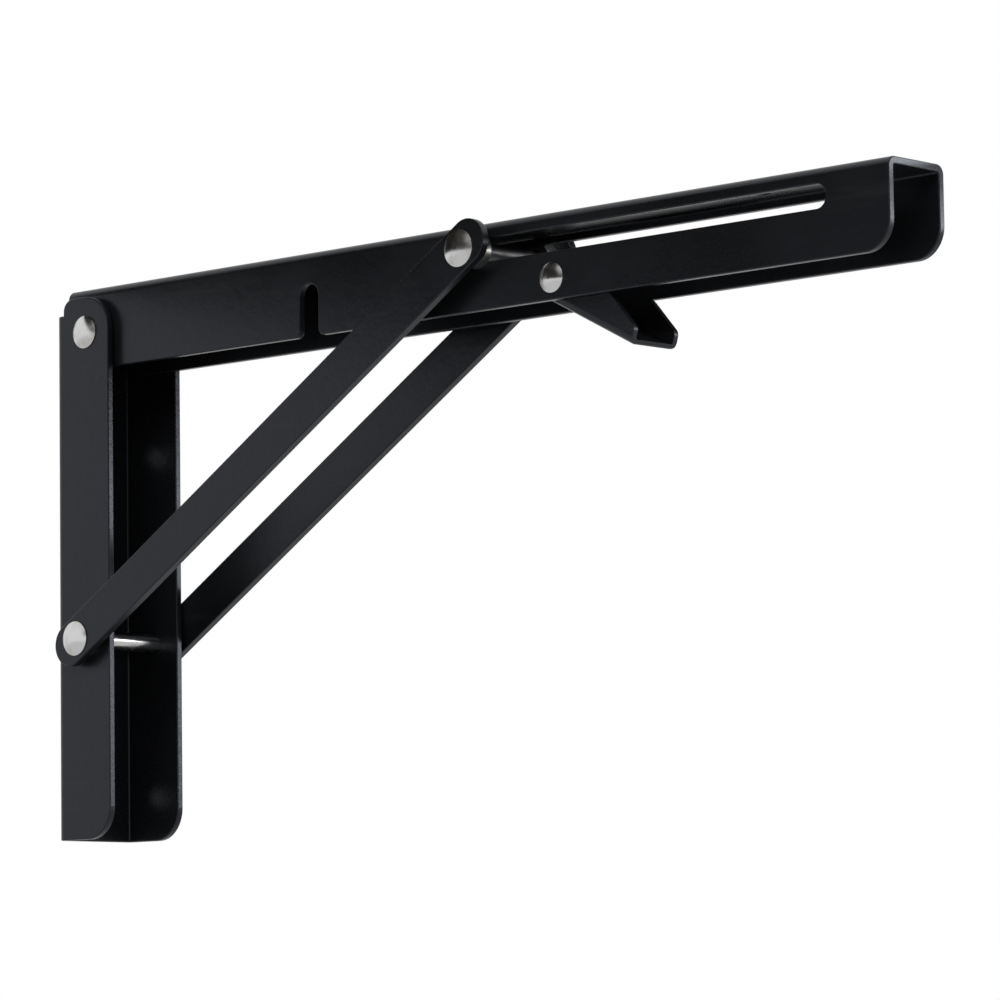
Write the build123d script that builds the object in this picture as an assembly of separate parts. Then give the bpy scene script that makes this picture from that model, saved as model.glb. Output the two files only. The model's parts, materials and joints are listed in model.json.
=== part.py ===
from build123d import *

import math
import os

# Folding shelf bracket. Millimetres, +Z up. The wall is the plane Y = 0 and the bracket reaches out along -Y.
# The origin is on the wall, midway between the two wall screw holes.
# Side profiles are drawn as (out, up): distance out from the wall, and height above the origin.

# The plane the board rests on
BOARD_Z = 94.0

# Rivet centres as (out, up)
HINGE = (12.5, BOARD_Z - 13.0)
STRUT_PIN = (12.8, BOARD_Z - 100.0)
SLIDE_PIN = (162.6, BOARD_Z - 7.4)
LEVER_PIN = (188.6, BOARD_Z - 17.4)

# Both arms are bent from the same sheet
SHEET = 2.0
BEND_R = 2.6
RIM_R = 0.35

# Wall arm
WALL_WIDTH = 27.8
WALL_DEPTH = 22.0
WALL_TOP = BOARD_Z - 3.0
WALL_BOTTOM = -62.0
WALL_CORNER_R = 9.0
EAR_BACK = 3.4
EAR_HEIGHT = 4.4
EAR_CORNER_R = 3.4
WALL_HOLE_SPACING = 98.0
WALL_HOLE_R = 2.8

# Shelf arm
SHELF_WIDTH = 21.8
SHELF_DEPTH = 23.2
SHELF_START = 2.3
SHELF_END = 300.0
SHELF_HEEL_R = 10.2
SHELF_END_R = 8.0
SHELF_HOLES = (50.0, 150.0, 250.0)
SHELF_HOLE_R = 2.75
SLOT_R = 3.1
SLOT_END = 280.0
NOTCH_CENTRE = 99.3
NOTCH_WIDTH = 7.0
NOTCH_TOP = BOARD_Z - 8.8
NOTCH_MOUTH_R = 2.0

# Strut bars, one each side
BAR_INNER = 15.8
BAR_THICKNESS = 2.5
BAR_WIDTH = 12.0
BAR_OVERHANG = 9.0

# Rivets: shank radius, head radius and head height
HINGE_RIVET = (3.0, 4.6, 1.5)
STRUT_RIVET = (2.5, 4.8, 1.5)
SLIDE_RIVET = (2.5, 5.0, 1.6)
LEVER_RIVET = (2.0, 4.0, 1.4)
HEAD_RIM = 0.35
TIGHT = 0.01
RUNNING = 0.05

# Sleeves and washers
SLIDE_PIN_R = 2.5
SLIDE_PIN_HALF = 15.6
SPACER_R = 4.8
WASHER_R = 5.6
WASHER_THICKNESS = 0.9

# Release lever, drawn at the angle where its teeth just clear the sliding pin's path
LEVER_WIDTH = 17.2
LEVER_SHEET = 1.5
LEVER_BEND_R = 2.2
FLOOR_START = (185.0, BOARD_Z - 22.8)
FLOOR_END = (213.4, BOARD_Z - 37.4)
LEVER_TOP = BOARD_Z - 10.4
TOOTH_TOP_R = 24.9
TOOTH_MID_R = 25.22
TOOTH_LOW_R = 25.4
TOOTH_ANGLES = (163.7, 170.5, 173.5)

# Lever spring
WIRE_R = 0.4
COIL_R = 3.0
COIL_HALF = 2.3
COIL_TURNS = 5
ANCHOR = (197.0, BOARD_Z - 13.0)
ANCHOR_REACH = 10.3
ANCHOR_HOLE_R = 0.65
SPRING_LEG = 16.0


def side_plane(x):
    """Plane at x whose local axes are out from the wall and up; it faces -X."""
    return Plane(origin=(x, 0, 0), x_dir=(0, -1, 0), z_dir=(-1, 0, 0))


def prism(profile, x_low, x_high):
    """An (out, up) profile given thickness from x_low to x_high."""
    return extrude(side_plane(x_high) * profile, x_high - x_low)


def disc(centre, radius, x_low, x_high):
    """A round bar along X about an (out, up) centre."""
    return prism(Pos(*centre) * Circle(radius), x_low, x_high)


def ring(centre, outer, inner, x_low, x_high):
    """A sleeve or washer along X."""
    return disc(centre, outer, x_low, x_high) - disc(centre, inner, x_low, x_high)


def offset_point(centre, radius, degrees):
    """The (out, up) point at a radius and an angle from a centre."""
    angle = math.radians(degrees)
    return (centre[0] + radius * math.cos(angle), centre[1] + radius * math.sin(angle))


def near(sketch, point):
    """The corner of a sketch nearest to a point."""
    return min(sketch.vertices(), key=lambda v: math.hypot(v.X - point[0], v.Y - point[1]))


def round_corners(sketch, corners):
    """Round each listed (point, radius) corner of a sketch."""
    for point, radius in corners:
        sketch = fillet(near(sketch, point), radius)
    return sketch


def polygon(points):
    return make_face(Polyline(*points, close=True))


def channel_section(width, depth, sheet, bend):
    """U section with its web along y = 0 and its legs reaching to y = -depth."""
    outer = Pos(0, -depth / 2) * Rectangle(width, depth)
    outer = fillet(outer.vertices().group_by(Axis.Y)[-1], bend)
    inner = Pos(0, -(depth + sheet) / 2) * Rectangle(width - 2 * sheet, depth - sheet)
    inner = fillet(inner.vertices().group_by(Axis.Y)[-1], bend - sheet)
    return outer - inner


def domed_head(centre, radius, height, x_base, side):
    """A low domed rivet head on the plane x = x_base, pointing to the side given (-1 or +1)."""
    dome_x = (height**2 - HEAD_RIM**2 - radius**2) / (2 * (height - HEAD_RIM))
    dome_r = height - dome_x
    half_angle = math.atan2(radius, HEAD_RIM - dome_x) / 2
    middle = (dome_x + dome_r * math.cos(half_angle), dome_r * math.sin(half_angle))
    outline = [
        Line((0, 0), (0, radius)),
        Line((0, radius), (HEAD_RIM, radius)),
        ThreePointArc((HEAD_RIM, radius), middle, (height, 0)),
        Line((height, 0), (0, 0)),
    ]
    head = revolve(make_face(outline), Axis.X)
    turn = 0 if side > 0 else 180
    return Pos(x_base, -centre[0], centre[1]) * Rot(0, 0, turn) * head


def rivet(centre, size, half_length):
    """A rivet through both sides of the bracket, with its heads on the planes x = +-half_length."""
    shank_r, head_r, head_height = size
    body = disc(centre, shank_r, -half_length, half_length)
    for side in (-1, 1):
        body += domed_head(centre, head_r, head_height, side * half_length, side)
    return body


def round_rims(arm, half_width, depth_of):
    """Take the sharp edge off the cut rims of both flanges; depth_of gives a point's distance from the web."""
    rims = []
    for face in arm.faces().filter_by(Axis.X):
        skin = abs(abs(face.center().X) - half_width)
        if min(skin, abs(skin - SHEET)) < 0.01:
            rims += [edge for edge in face.edges() if abs(depth_of(edge.center()) - BEND_R) > 0.01]
    return fillet(rims, RIM_R)


def slot_profile(start, end, radius):
    """A slot between two (out, up) points at the same height."""
    length = end[0] - start[0]
    middle = ((start[0] + end[0]) / 2, start[1])
    return Pos(*middle) * SlotCenterToCenter(length, 2 * radius)


def make_wall_arm():
    section = channel_section(WALL_WIDTH, WALL_DEPTH, SHEET, BEND_R)
    blank = extrude(Pos(0, 0, WALL_BOTTOM) * section, WALL_TOP - WALL_BOTTOM)

    # Front corners: the top one is struck round the hinge. The web stops short of the two hinge ears.
    height = WALL_TOP - WALL_BOTTOM
    outline = Pos(WALL_DEPTH / 2, (WALL_TOP + WALL_BOTTOM) / 2) * Rectangle(WALL_DEPTH, height)
    outline -= Pos(0, WALL_TOP) * Rectangle(2 * EAR_BACK, 2 * EAR_HEIGHT)
    outline = round_corners(outline, [
        ((WALL_DEPTH, WALL_TOP), WALL_DEPTH - HINGE[0]),
        ((WALL_DEPTH, WALL_BOTTOM), WALL_CORNER_R),
        ((EAR_BACK, WALL_TOP), EAR_CORNER_R),
    ])
    arm = blank & prism(outline, -WALL_WIDTH, WALL_WIDTH)
    arm = round_rims(arm, WALL_WIDTH / 2, lambda point: -point.Y)

    arm -= disc(HINGE, HINGE_RIVET[0] + TIGHT, -WALL_WIDTH, WALL_WIDTH)
    arm -= disc(STRUT_PIN, STRUT_RIVET[0] + RUNNING, -WALL_WIDTH, WALL_WIDTH)
    for side in (-1, 1):
        height = side * WALL_HOLE_SPACING / 2
        arm -= Pos(0, 0, height) * Rot(90, 0, 0) * Cylinder(WALL_HOLE_R, 4 * SHEET)
    return arm


def make_shelf_arm():
    section = channel_section(SHELF_WIDTH, SHELF_DEPTH, SHEET, BEND_R)
    start_plane = Plane(origin=(0, -SHELF_START, BOARD_Z), x_dir=(1, 0, 0), z_dir=(0, -1, 0))
    blank = extrude(start_plane * section, SHELF_END - SHELF_START)

    # The heel turns inside the wall arm, so it is struck round the hinge
    length = SHELF_END - SHELF_START
    bottom = BOARD_Z - SHELF_DEPTH
    outline = Pos(SHELF_START + length / 2, BOARD_Z - SHELF_DEPTH / 2) * Rectangle(length, SHELF_DEPTH)
    outline = round_corners(outline, [
        ((SHELF_START, bottom), SHELF_HEEL_R),
        ((SHELF_END, bottom), SHELF_END_R),
    ])

    # Notch that seats over the strut's lower rivet when the bracket is folded
    notch_height = NOTCH_TOP - bottom
    notch = Pos(NOTCH_CENTRE, bottom + notch_height / 2) * Rectangle(NOTCH_WIDTH, notch_height)
    outline -= round_corners(notch, [
        ((NOTCH_CENTRE - NOTCH_WIDTH / 2, NOTCH_TOP), NOTCH_WIDTH / 2 - 0.1),
        ((NOTCH_CENTRE + NOTCH_WIDTH / 2, NOTCH_TOP), NOTCH_WIDTH / 2 - 0.1),
    ])
    outline = round_corners(outline, [
        ((NOTCH_CENTRE - NOTCH_WIDTH / 2, bottom), NOTCH_MOUTH_R),
        ((NOTCH_CENTRE + NOTCH_WIDTH / 2, bottom), NOTCH_MOUTH_R),
    ])

    outline -= slot_profile(SLIDE_PIN, (SLOT_END - SLOT_R, SLIDE_PIN[1]), SLOT_R)
    web = prism(Pos(SHELF_START + length / 2, BOARD_Z) * Rectangle(length, 2 * SHEET), -SHELF_WIDTH, SHELF_WIDTH)
    arm = blank & (prism(outline, -SHELF_WIDTH, SHELF_WIDTH) + web)
    arm = round_rims(arm, SHELF_WIDTH / 2, lambda point: BOARD_Z - point.Z)

    arm -= disc(HINGE, HINGE_RIVET[0] + RUNNING, -SHELF_WIDTH, SHELF_WIDTH)
    arm -= disc(LEVER_PIN, LEVER_RIVET[0] + TIGHT, -SHELF_WIDTH, SHELF_WIDTH)
    arm -= disc(ANCHOR, ANCHOR_HOLE_R, 0, SHELF_WIDTH)
    for out in SHELF_HOLES:
        arm -= Pos(0, -out, BOARD_Z) * Cylinder(SHELF_HOLE_R, 4 * SHEET)
    return arm


def make_bar(side):
    """One strut bar, straight with round ends, with its two rivet holes."""
    run = SLIDE_PIN[0] - STRUT_PIN[0]
    rise = SLIDE_PIN[1] - STRUT_PIN[1]
    length = math.hypot(run, rise)
    end_centre = BAR_OVERHANG - BAR_WIDTH / 2
    middle = ((SLIDE_PIN[0] + STRUT_PIN[0]) / 2, (SLIDE_PIN[1] + STRUT_PIN[1]) / 2)
    slope = math.degrees(math.atan2(rise, run))
    profile = Pos(*middle) * Rot(0, 0, slope) * SlotCenterToCenter(length + 2 * end_centre, BAR_WIDTH)
    profile -= Pos(*STRUT_PIN) * Circle(STRUT_RIVET[0] + TIGHT)
    profile -= Pos(*SLIDE_PIN) * Circle(SLIDE_RIVET[0] + TIGHT)
    faces = sorted((side * BAR_INNER, side * (BAR_INNER + BAR_THICKNESS)))
    bar = prism(profile, *faces)
    rims = bar.faces().filter_by(Axis.X)
    return fillet([edge for face in rims for edge in face.outer_wire().edges()], 0.3)


def make_slide_rivet(side):
    """One riveted end of the sliding pin: a shank through the bar and a domed head outside it."""
    shank_r, head_r, head_height = SLIDE_RIVET
    outer = side * (BAR_INNER + BAR_THICKNESS)
    shank = disc(SLIDE_PIN, shank_r, *sorted((side * BAR_INNER, outer)))
    return shank + domed_head(SLIDE_PIN, head_r, head_height, outer, side)


def make_lever():
    """Pressed channel: a floor and two cheeks at the tail, and the cheeks alone at the nose."""
    run = FLOOR_END[0] - FLOOR_START[0]
    fall = FLOOR_END[1] - FLOOR_START[1]
    length = math.hypot(run, fall)
    along = (run / length, fall / length)
    across = (-along[1], along[0])

    def on_floor(distance, height):
        """The (out, up) point a distance along the floor's underside and a height above it."""
        return (FLOOR_START[0] + distance * along[0] + height * across[0],
                FLOOR_START[1] + distance * along[1] + height * across[1])

    # Tail: a U section run along the floor, cut to the side outline
    section = Rot(0, 0, 180) * channel_section(LEVER_WIDTH, 20.0, LEVER_SHEET, LEVER_BEND_R)
    floor_plane = Plane(
        origin=(0, -FLOOR_START[0], FLOOR_START[1]),
        x_dir=(1, 0, 0),
        z_dir=(0, -along[0], along[1]),
    )
    blank = extrude(floor_plane * section, length + 6.0)
    crest = (185.5, LEVER_TOP)
    waist = (206.8, BOARD_Z - 23.7)
    tip = (214.8, BOARD_Z - 32.8)
    tail = polygon([FLOOR_START, FLOOR_END, tip, waist, crest])
    tail = round_corners(tail, [(waist, 8.0), (tip, 2.0), (FLOOR_END, 0.9)])
    body = blank & prism(tail, -LEVER_WIDTH, LEVER_WIDTH)

    # Nose: two cheeks that end in teeth. The tooth's face is eccentric, so it wedges against the sliding pin.
    tooth_top, tooth_mid, tooth_low = (
        offset_point(LEVER_PIN, radius, degrees)
        for radius, degrees in zip((TOOTH_TOP_R, TOOTH_MID_R, TOOTH_LOW_R), TOOTH_ANGLES)
    )
    shoulder = (crest[0] + 0.45 * (waist[0] - crest[0]), crest[1] + 0.45 * (waist[1] - crest[1]))
    outline = [
        ThreePointArc(tooth_top, tooth_mid, tooth_low),
        Polyline(tooth_low, on_floor(0, LEVER_BEND_R), on_floor(6.0, LEVER_BEND_R), shoulder, crest, tooth_top),
    ]
    nose = round_corners(make_face(outline), [(crest, 3.0), (tooth_low, 0.8)])
    for side in (-1, 1):
        body += prism(nose, *sorted((side * LEVER_WIDTH / 2, side * (LEVER_WIDTH / 2 - LEVER_SHEET))))
    return body - disc(LEVER_PIN, LEVER_RIVET[0] + RUNNING, -LEVER_WIDTH, LEVER_WIDTH)


def wire_run(points):
    """Straight lengths of spring wire through 3-D points, with round joints."""
    run = Pos(*points[0]) * Sphere(WIRE_R)
    for start, end in zip(points, points[1:]):
        direction = Vector(*end) - Vector(*start)
        run += extrude(Plane(origin=start, z_dir=direction) * Circle(WIRE_R), direction.length)
        run += Pos(*end) * Sphere(WIRE_R)
    return run


def make_spring():
    """Torsion spring: one leg hooked in the shelf arm's right flange, one along the lever's floor."""
    run = FLOOR_END[0] - FLOOR_START[0]
    fall = FLOOR_END[1] - FLOOR_START[1]
    length = math.hypot(run, fall)
    floor_distance = abs(run * (LEVER_PIN[1] - FLOOR_START[1]) - fall * (LEVER_PIN[0] - FLOOR_START[0])) / length
    leg_drop = floor_distance - LEVER_SHEET - WIRE_R - RUNNING
    foot = (LEVER_PIN[0] + (run * SPRING_LEG + fall * leg_drop) / length,
            LEVER_PIN[1] + (fall * SPRING_LEG - run * leg_drop) / length)

    def tangent_angle(point, sign):
        """Angle round the coil where a straight leg to a point leaves it."""
        reach = math.hypot(point[0] - LEVER_PIN[0], point[1] - LEVER_PIN[1])
        heading = math.degrees(math.atan2(point[1] - LEVER_PIN[1], point[0] - LEVER_PIN[0]))
        return heading + sign * math.degrees(math.acos(COIL_R / reach))

    def at(point, x):
        return (x, -point[0], point[1])

    anchor_angle = tangent_angle(ANCHOR, 1)
    foot_angle = tangent_angle(foot, -1) + 360 * (COIL_TURNS + 1)
    turns = (foot_angle - anchor_angle) / 360
    pitch = 2 * COIL_HALF / turns

    # The coil runs from the hooked leg on the right to the floor leg on the left
    coil_path = Helix(pitch=pitch, height=2 * COIL_HALF, radius=COIL_R)
    profile = Plane(origin=coil_path @ 0, z_dir=coil_path % 0) * Circle(WIRE_R)
    coil = sweep(profile, path=coil_path)
    coil_plane = Plane(origin=at(LEVER_PIN, COIL_HALF), x_dir=(0, -1, 0), z_dir=(-1, 0, 0))
    coil = coil_plane * Rot(0, 0, anchor_angle) * coil

    hooked_leg = wire_run([
        at(offset_point(LEVER_PIN, COIL_R, anchor_angle), COIL_HALF),
        at(ANCHOR, COIL_HALF),
        at(ANCHOR, ANCHOR_REACH),
    ])
    floor_leg = wire_run([
        at(offset_point(LEVER_PIN, COIL_R, foot_angle), -COIL_HALF),
        at(foot, -COIL_HALF),
    ])
    return coil + hooked_leg + floor_leg


wall_half = WALL_WIDTH / 2
shelf_half = SHELF_WIDTH / 2
parts = {
    "wall_arm": make_wall_arm(),
    "shelf_arm": make_shelf_arm(),
    "hinge_pin": rivet(HINGE, HINGE_RIVET, wall_half),
    "strut_pin": rivet(STRUT_PIN, STRUT_RIVET, BAR_INNER + BAR_THICKNESS),
    "lever_pin": rivet(LEVER_PIN, LEVER_RIVET, shelf_half),
    "slide_pin": disc(SLIDE_PIN, SLIDE_PIN_R, -SLIDE_PIN_HALF, SLIDE_PIN_HALF),
    "release_lever": make_lever(),
    "lever_spring": make_spring(),
}
for side, name in ((-1, "left"), (1, "right")):
    inner = wall_half - SHEET - RUNNING
    washer = sorted((side * inner, side * (inner - WASHER_THICKNESS)))
    strut_spacer = sorted((side * (wall_half + RUNNING), side * BAR_INNER))
    slide_spacer = sorted((side * (shelf_half + RUNNING), side * SLIDE_PIN_HALF))
    parts["hinge_washer_" + name] = ring(HINGE, WASHER_R, HINGE_RIVET[0] + RUNNING, *washer)
    parts["strut_spacer_" + name] = ring(STRUT_PIN, SPACER_R, STRUT_RIVET[0] + TIGHT, *strut_spacer)
    parts["slide_spacer_" + name] = ring(SLIDE_PIN, SPACER_R, SLIDE_PIN_R + TIGHT, *slide_spacer)
    parts["strut_" + name] = make_bar(side)
    parts["slide_rivet_" + name] = make_slide_rivet(side)

os.makedirs("parts", exist_ok=True)
for name, solid in parts.items():
    export_step(solid, "parts/" + name + ".step")
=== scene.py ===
import json
import math

import bpy
from mathutils import Matrix, Vector


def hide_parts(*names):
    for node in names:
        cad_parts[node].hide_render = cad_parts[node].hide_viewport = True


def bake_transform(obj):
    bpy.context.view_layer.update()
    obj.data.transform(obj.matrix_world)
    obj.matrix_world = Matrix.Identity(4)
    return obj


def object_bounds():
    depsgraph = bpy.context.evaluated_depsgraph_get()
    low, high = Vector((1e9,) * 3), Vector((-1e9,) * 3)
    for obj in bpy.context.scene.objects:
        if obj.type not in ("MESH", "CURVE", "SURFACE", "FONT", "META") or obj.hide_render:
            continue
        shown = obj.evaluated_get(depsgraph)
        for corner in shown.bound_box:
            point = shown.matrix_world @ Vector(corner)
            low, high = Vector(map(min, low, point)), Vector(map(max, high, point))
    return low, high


# Everything is in metres, in the bracket's own frame. The wall is Y = 0, the bracket reaches out along -Y,
# and Z is up.

# Camera: where it stands, what it looks at, its lens and sensor in millimetres, its slight tilt, and how far
# it sees
CAMERA_AT = (-0.934, -1.031, -0.116)
CAMERA_AIM = (0.0, -0.159, 0.022)
CAMERA_LENS = 176.0
CAMERA_SENSOR = 36.0
CAMERA_ROLL = math.radians(-0.8)
CAMERA_REACH = 60.0

# Lamps, all turned to one point: name, place, size and watts
LAMP_AIM = (0, -0.14, 0.02)
LAMPS = (
    ("key", (-1.2, -0.6, 0.9), (0.9, 0.7), 10),
    ("edge", (1.0, -1.1, 0.32), (0.55, 0.5), 9),
    ("right", (1.3, -0.1, 0.5), (0.8, 0.8), 4),
)

# The world's strength as a light, and as it is seen
WORLD_LIGHT = 0.45
WORLD_SEEN = 1.0

# The floor: its size, its height, its two close tones, its roughness, and the light added where it is seen
FLOOR_SIZE = 40.0
FLOOR_HEIGHT = -1.6
FLOOR_WHITE = (0.80, 0.80, 0.80)
FLOOR_TONE = (0.79, 0.79, 0.79)
FLOOR_TONE_SCALE = 6
FLOOR_TONE_EDGES = (0.3, 0.7)
FLOOR_ROUGHNESS = 0.9
FLOOR_LIFT = 0.36

# The dark cards above the bracket, which paint shade into the arm's reflections: each card's width, the
# opening between them, their reach past the arm's end, their height above the arm, and their grey, which is
# the painted shade
FLAG_WIDTH = 0.6
FLAG_OPENING = 0.028
FLAG_OVERHANG = 0.05
FLAG_GAP = 0.002
FLAG_PAINTED_SHADE_GREY = (0.018, 0.015, 0.013)

# Black powder coat: linear colours, reflection with its painted blue cast, its lowest and highest roughness,
# and what dust adds to that
PAINT = (0.0054, 0.0058, 0.0068)
PAINT_DRIFT = (0.0080, 0.0085, 0.0098)
PAINT_WORN = (0.020, 0.020, 0.021)
PAINT_SPECULAR = 0.29
PAINT_PAINTED_BLUE_REFLECTION = (0.77, 0.85, 1.0)
PAINT_SMOOTH = 0.25
PAINT_ROUGH = 0.32
DUST_ROUGHNESS = 0.10

# Its textures: their features in a metre, and the noise values between which each one sets in
PEEL_SCALE = 900
RIPPLE_SCALE = 260
DRIFT_SCALE = 22
DRIFT_EDGES = (0.30, 0.70)
DUST_SCALE = 3200
DUST_EDGES = (0.50, 0.75)
STREAK_SCALE = 60
STREAK_EDGES = (0.56, 0.74)
STREAK_STRETCH = (1.0, 0.12, 3.0)
SCUFF_EDGES = (0.40, 0.70)

# Its bumps: their heights and their strength
RIPPLE_HEIGHT = 0.00012
PEEL_HEIGHT = 0.00004
PAINT_BUMP = 0.5

# Each painted slot: the shift that gives it marks of its own, and how strong its scuffs are
PAINTED = {
    "arm_paint": (0, 0.55),
    "bar_paint": (37, 0.70),
    "lever_paint": (71, 0.85),
}

# Each metal slot: colour, tarnished colour, roughness, and the stretch and scale of its fine marks
EVEN = (1, 1, 1)
TURNED = (6.0, 0.6, 0.6)
METALS = {
    "rivet_nickel": ((0.60, 0.60, 0.60), (0.50, 0.48, 0.45), 0.16, EVEN, 1400),
    "sleeve_zinc": ((0.36, 0.36, 0.35), (0.25, 0.25, 0.25), 0.30, TURNED, 900),
    "pin_steel": ((0.10, 0.10, 0.105), (0.05, 0.05, 0.05), 0.34, TURNED, 900),
    "spring_steel": ((0.32, 0.32, 0.33), (0.20, 0.19, 0.18), 0.30, EVEN, 2200),
}

# On all metals: tarnish and the roughness it adds, small dents, and the height and strength of the bumps
TARNISH_SCALE = 160
TARNISH_EDGES = (0.45, 0.75)
TARNISH_ROUGH_EDGES = (0.35, 0.75)
TARNISH_ROUGHNESS = 0.16
MARK_HEIGHT = 0.000012
MARK_BUMP = 0.7
DENT_SCALE = 420
DENT_HEIGHT = 0.00005
DENT_BUMP = 0.35

# Black nylon: two close colours, its range of roughness, and its moulded grain
NYLON = (0.012, 0.012, 0.012)
NYLON_TONE = (0.018, 0.018, 0.018)
NYLON_TONE_SCALE = 120
NYLON_TONE_EDGES = (0.35, 0.65)
NYLON_SMOOTH = 0.55
NYLON_ROUGH = 0.68
GRAIN_SCALE = 1500
GRAIN_HEIGHT = 0.00004
GRAIN_BUMP = 0.6


class Material:
    """A node material that is built up call by call."""

    def __init__(self, name):
        self.material = bpy.data.materials.new(name)
        self.material.use_nodes = True
        self.nodes = self.material.node_tree.nodes
        self.links = self.material.node_tree.links
        self.shader = self.nodes["Principled BSDF"]
        self.place = self.node("ShaderNodeTexCoord").outputs["Object"]

    def node(self, kind, **settings):
        """A new node. Each setting is one of its properties, or else the value of the input of that name."""
        made = self.nodes.new(kind)
        for name, value in settings.items():
            if hasattr(made, name):
                setattr(made, name, value)
            else:
                made.inputs[name.replace("_", " ").title()].default_value = value
        return made

    def link(self, output, target, socket):
        """Join an output to a node's input of that name."""
        self.links.new(output, target.inputs[socket])

    def noise(self, scale, detail=3.0, roughness=0.55, stretch=(1, 1, 1)):
        """Noise in object space. Scale is features per metre, and a stretch over 1 squeezes its axis."""
        mapping = self.node("ShaderNodeMapping")
        mapping.inputs["Scale"].default_value = stretch
        self.link(self.place, mapping, "Vector")
        noise = self.node("ShaderNodeTexNoise", scale=scale, detail=detail, roughness=roughness)
        self.link(mapping.outputs["Vector"], noise, "Vector")
        return noise.outputs["Fac"]

    def ramp(self, value, edges, low_out=0.0, high_out=1.0):
        """A value carried smoothly between two edges to low_out and high_out, and held beyond them."""
        step = self.node("ShaderNodeMapRange")
        step.interpolation_type = "SMOOTHSTEP"
        step.inputs["From Min"].default_value = edges[0]
        step.inputs["From Max"].default_value = edges[1]
        step.inputs["To Min"].default_value = low_out
        step.inputs["To Max"].default_value = high_out
        self.link(value, step, "Value")
        return step.outputs["Result"]

    def multiply(self, first, second):
        """The product of two outputs."""
        step = self.node("ShaderNodeMath", operation="MULTIPLY")
        self.links.new(first, step.inputs[0])
        self.links.new(second, step.inputs[1])
        return step.outputs[0]

    def mix_colour(self, factor, first, second):
        """Blend two colours; each is a plain colour or another node's output."""
        step = self.node("ShaderNodeMix", data_type="RGBA")
        self.links.new(factor, step.inputs[0])
        for socket, colour in ((step.inputs[6], first), (step.inputs[7], second)):
            if isinstance(colour, tuple):
                socket.default_value = (*colour, 1)
            else:
                self.links.new(colour, socket)
        return step.outputs[2]

    def bump(self, height, distance, strength, under=None):
        """A normal bumped by a height, on top of the bump given as under."""
        step = self.node("ShaderNodeBump")
        step.inputs["Distance"].default_value = distance
        step.inputs["Strength"].default_value = strength
        self.link(height, step, "Height")
        if under is not None:
            self.link(under, step, "Normal")
        return step.outputs["Normal"]


def powder_coat(name, shift, scuffs):
    """Semi-gloss black powder coat: fine orange peel, faint colour drift, dull scuffs, and a painted blue
    cast in its reflection.
    """
    made = Material(name)
    peel = made.noise(PEEL_SCALE + shift, detail=2.0)
    ripple = made.noise(RIPPLE_SCALE + shift, detail=2.0)
    drift = made.noise(DRIFT_SCALE + shift * 0.1, detail=4.0)
    dust = made.noise(DUST_SCALE, detail=1.0)
    streaks = made.noise(STREAK_SCALE + shift, detail=5.0, roughness=0.7, stretch=STREAK_STRETCH)

    worn = made.multiply(made.ramp(streaks, STREAK_EDGES), made.ramp(drift, SCUFF_EDGES, high_out=scuffs))
    base = made.mix_colour(made.ramp(drift, DRIFT_EDGES), PAINT, PAINT_DRIFT)
    made.link(made.mix_colour(worn, base, PAINT_WORN), made.shader, "Base Color")

    # Roughness drifts with the colour, and each speck of dust adds to it
    under_dust = made.ramp(drift, DRIFT_EDGES, PAINT_SMOOTH, PAINT_ROUGH)
    rough = made.node("ShaderNodeMath", operation="MULTIPLY_ADD")
    made.links.new(made.ramp(dust, DUST_EDGES), rough.inputs[0])
    rough.inputs[1].default_value = DUST_ROUGHNESS
    made.links.new(under_dust, rough.inputs[2])
    made.link(rough.outputs[0], made.shader, "Roughness")

    normal = made.bump(ripple, RIPPLE_HEIGHT, PAINT_BUMP)
    normal = made.bump(peel, PEEL_HEIGHT, PAINT_BUMP, under=normal)
    made.link(normal, made.shader, "Normal")
    made.shader.inputs["Specular IOR Level"].default_value = PAINT_SPECULAR
    # Painted reflection colour: the blue tint stands for bluish light reflected off the coat, not for the
    # coat itself
    made.shader.inputs["Specular Tint"].default_value = (*PAINT_PAINTED_BLUE_REFLECTION, 1)
    return made.material


def plated_metal(name, colour, dull, roughness, stretch, scale):
    """Plated metal or steel with fine marks, faint tarnish and small handling dents."""
    made = Material(name)
    marks = made.noise(scale, detail=4.0, roughness=0.7, stretch=stretch)
    tarnish = made.noise(TARNISH_SCALE, detail=4.0)
    dents = made.noise(DENT_SCALE, detail=2.0)
    made.link(made.mix_colour(made.ramp(tarnish, TARNISH_EDGES), colour, dull), made.shader, "Base Color")
    made.shader.inputs["Metallic"].default_value = 1.0
    rough = made.ramp(tarnish, TARNISH_ROUGH_EDGES, roughness, roughness + TARNISH_ROUGHNESS)
    made.link(rough, made.shader, "Roughness")
    normal = made.bump(marks, MARK_HEIGHT, MARK_BUMP)
    normal = made.bump(dents, DENT_HEIGHT, DENT_BUMP, under=normal)
    made.link(normal, made.shader, "Normal")
    return made.material


def nylon(name):
    """Matt black plastic with a fine moulded grain."""
    made = Material(name)
    grain = made.noise(GRAIN_SCALE, detail=2.0)
    tone = made.noise(NYLON_TONE_SCALE)
    colour = made.mix_colour(made.ramp(tone, NYLON_TONE_EDGES), NYLON, NYLON_TONE)
    made.link(colour, made.shader, "Base Color")
    made.link(made.ramp(tone, NYLON_TONE_EDGES, NYLON_SMOOTH, NYLON_ROUGH), made.shader, "Roughness")
    made.link(made.bump(grain, GRAIN_HEIGHT, GRAIN_BUMP), made.shader, "Normal")
    return made.material


def paint_nodes(frame):
    """Give every CAD node the material of its slot."""
    made = {}
    for slot, settings in PAINTED.items():
        made[slot] = powder_coat(slot, *settings)
    for slot, settings in METALS.items():
        made[slot] = plated_metal(slot, *settings)
    made["washer_nylon"] = nylon("washer_nylon")
    slots = {entry["node"]: entry["material_slot"] for entry in frame["record"]["subparts"]}
    for name, node in frame["nodes"].items():
        node.data.materials.clear()
        node.data.materials.append(made[slots[name]])


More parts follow.
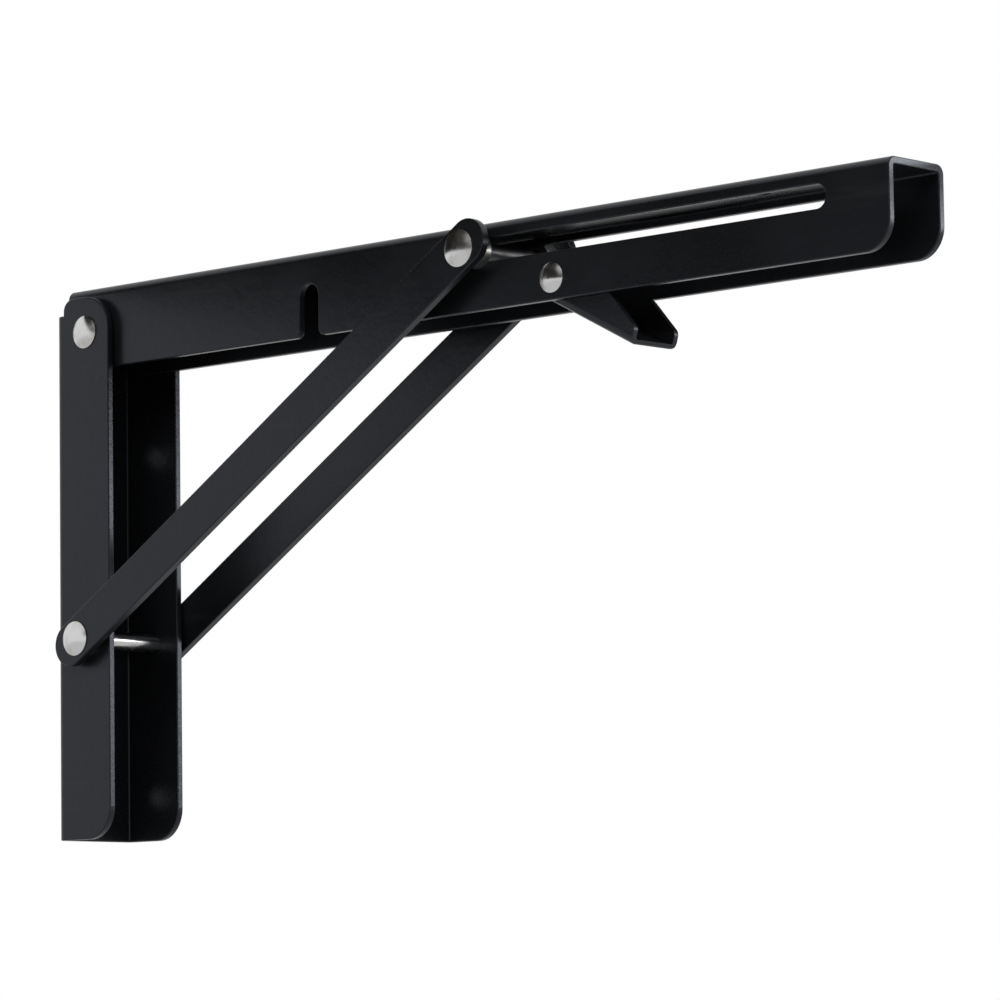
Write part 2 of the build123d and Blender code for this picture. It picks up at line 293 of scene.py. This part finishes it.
def twist_spring(frame):
    """A copy of the lever's spring in the node's place, with its transform baked in; the node itself is
    hidden.
    """
    node = frame["nodes"]["lever_spring"]
    spring = bpy.data.objects.new("torsion_spring", node.data.copy())
    spring.matrix_world = node.matrix_world.copy()
    bpy.context.scene.collection.objects.link(spring)
    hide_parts("lever_spring")
    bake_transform(spring)


def seen_strength(tree, lighting, seen):
    """A strength that is one value as a light, and another to the camera, reflections and glass."""
    path = tree.nodes.new("ShaderNodeLightPath")
    strength = tree.nodes.new("ShaderNodeValue").outputs[0]
    strength.default_value = lighting
    for ray in ("Is Camera Ray", "Is Glossy Ray", "Is Transmission Ray"):
        blend = tree.nodes.new("ShaderNodeMix")
        blend.inputs["B"].default_value = seen
        tree.links.new(path.outputs[ray], blend.inputs["Factor"])
        tree.links.new(strength, blend.inputs["A"])
        strength = blend.outputs["Result"]
    return strength


def add_world():
    """A plain white world, which lights the object less than it shows."""
    world = bpy.data.worlds.new("studio")
    bpy.context.scene.world = world
    world.use_nodes = True
    background = world.node_tree.nodes["Background"]
    background.inputs["Color"].default_value = (1, 1, 1, 1)
    strength = seen_strength(world.node_tree, lighting=WORLD_LIGHT, seen=WORLD_SEEN)
    world.node_tree.links.new(strength, background.inputs["Strength"])


def add_floor():
    """A pale floor well below the bracket, which takes its shadow."""
    bpy.ops.mesh.primitive_plane_add(size=FLOOR_SIZE, location=(0, 0, FLOOR_HEIGHT))
    floor = bpy.context.object
    floor.name = "floor"
    material = Material("floor")
    tone = material.noise(FLOOR_TONE_SCALE)
    colour = material.mix_colour(material.ramp(tone, FLOOR_TONE_EDGES), FLOOR_WHITE, FLOOR_TONE)
    material.link(colour, material.shader, "Base Color")
    material.shader.inputs["Roughness"].default_value = FLOOR_ROUGHNESS
    material.shader.inputs["Emission Color"].default_value = (1, 1, 1, 1)
    lift = seen_strength(material.material.node_tree, lighting=0.0, seen=FLOOR_LIFT)
    material.link(lift, material.shader, "Emission Strength")
    floor.data.materials.append(material.material)


def add_painted_shade_cards(box):
    """Two dark cards above the bracket, one each side of the arm's top, which paint shade into its
    reflections. Only reflections see them.
    """
    lowest, highest = box
    material = Material("flag")
    # Painted shade: the card's dark grey is seen by reflections alone, and the card casts no shadow
    card = material.node("ShaderNodeEmission")
    card.inputs["Color"].default_value = (*FLAG_PAINTED_SHADE_GREY, 1)
    clear = material.node("ShaderNodeBsdfTransparent")
    path = material.node("ShaderNodeLightPath")
    choice = material.node("ShaderNodeMixShader")
    material.link(path.outputs["Is Glossy Ray"], choice, "Fac")
    material.links.new(clear.outputs[0], choice.inputs[1])
    material.links.new(card.outputs[0], choice.inputs[2])
    material.link(choice.outputs[0], material.nodes["Material Output"], "Surface")

    depth = FLAG_OVERHANG - lowest[1]
    height = highest[2] + FLAG_GAP
    for name, side in (("painted_shade_card_left", -1), ("painted_shade_card_right", 1)):
        middle = side * (FLAG_OPENING + FLAG_WIDTH) / 2
        bpy.ops.mesh.primitive_plane_add(size=1, location=(middle, -depth / 2, height))
        flag = bpy.context.object
        flag.name = name
        flag.scale = (FLAG_WIDTH, depth, 1)
        flag.data.materials.append(material.material)


def aim(thing, at, target):
    """Stand a camera or lamp at a point and turn it to a target."""
    thing.location = at
    thing.rotation_euler = (Vector(target) - Vector(at)).to_track_quat("-Z", "Y").to_euler()


def add_lamp(name, at, size, watts):
    """A soft rectangular lamp."""
    lamp = bpy.data.lights.new(name, "AREA")
    lamp.shape = "RECTANGLE"
    lamp.size, lamp.size_y = size
    lamp.energy = watts
    holder = bpy.data.objects.new(name, lamp)
    bpy.context.scene.collection.objects.link(holder)
    aim(holder, at, LAMP_AIM)


def add_camera():
    """The camera of the main view."""
    camera = bpy.data.cameras.new("camera")
    camera.lens = CAMERA_LENS
    camera.sensor_width = CAMERA_SENSOR
    camera.clip_end = CAMERA_REACH
    holder = bpy.data.objects.new("camera", camera)
    bpy.context.scene.collection.objects.link(holder)
    aim(holder, CAMERA_AT, CAMERA_AIM)
    level = holder.rotation_euler.to_matrix()
    holder.rotation_euler = (level @ Matrix.Rotation(CAMERA_ROLL, 3, "Z")).to_euler()
    bpy.context.scene.camera = holder


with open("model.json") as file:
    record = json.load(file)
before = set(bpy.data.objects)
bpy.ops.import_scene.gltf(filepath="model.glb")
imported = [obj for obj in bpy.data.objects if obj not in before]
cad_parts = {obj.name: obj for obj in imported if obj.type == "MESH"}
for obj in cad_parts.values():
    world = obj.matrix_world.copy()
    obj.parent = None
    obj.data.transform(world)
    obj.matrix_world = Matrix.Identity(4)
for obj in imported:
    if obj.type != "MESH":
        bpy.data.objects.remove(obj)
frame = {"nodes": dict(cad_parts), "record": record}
cad_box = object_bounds()
bpy.context.scene.view_settings.view_transform = "Standard"

paint_nodes(frame)
twist_spring(frame)
add_world()
add_floor()
add_painted_shade_cards(cad_box)
add_camera()
for lamp_settings in LAMPS:
    add_lamp(*lamp_settings)
